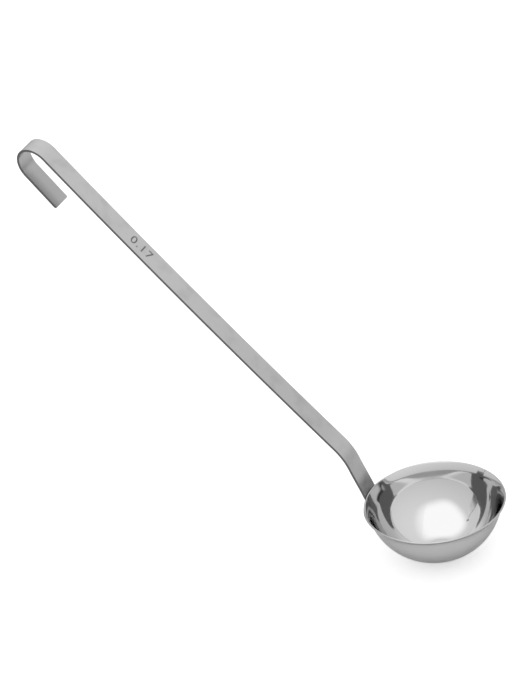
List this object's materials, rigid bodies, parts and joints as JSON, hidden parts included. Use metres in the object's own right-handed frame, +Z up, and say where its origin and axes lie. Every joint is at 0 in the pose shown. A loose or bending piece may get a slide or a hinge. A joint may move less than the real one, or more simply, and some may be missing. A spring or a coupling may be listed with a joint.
{
  "type": "soup ladle",
  "caption": "Hook ladle: a round drawn bowl with a turned-out pouring lip on a long flat strip handle that is spot-welded to it and ends in a hook.",
  "frame": {"origin": "middle of the bowl's flat underside", "axes": "+Z up along the bowl's axis, the handle leaves the bowl towards -X, and the ladle is symmetric about the XZ plane"},
  "size_m": [0.3327, 0.1002, 0.2958],
  "materials": {
    "bowl_steel": "polished stainless steel",
    "handle_steel": "satin stainless steel strip",
    "weld_steel": "fused stainless steel"
  },
  "bodies": {
    "root": {"bowl": "bowl_steel", "handle": "handle_steel", "weld_nugget_upper": "weld_steel", "weld_nugget_lower": "weld_steel"}
  },
  "joints": []
}
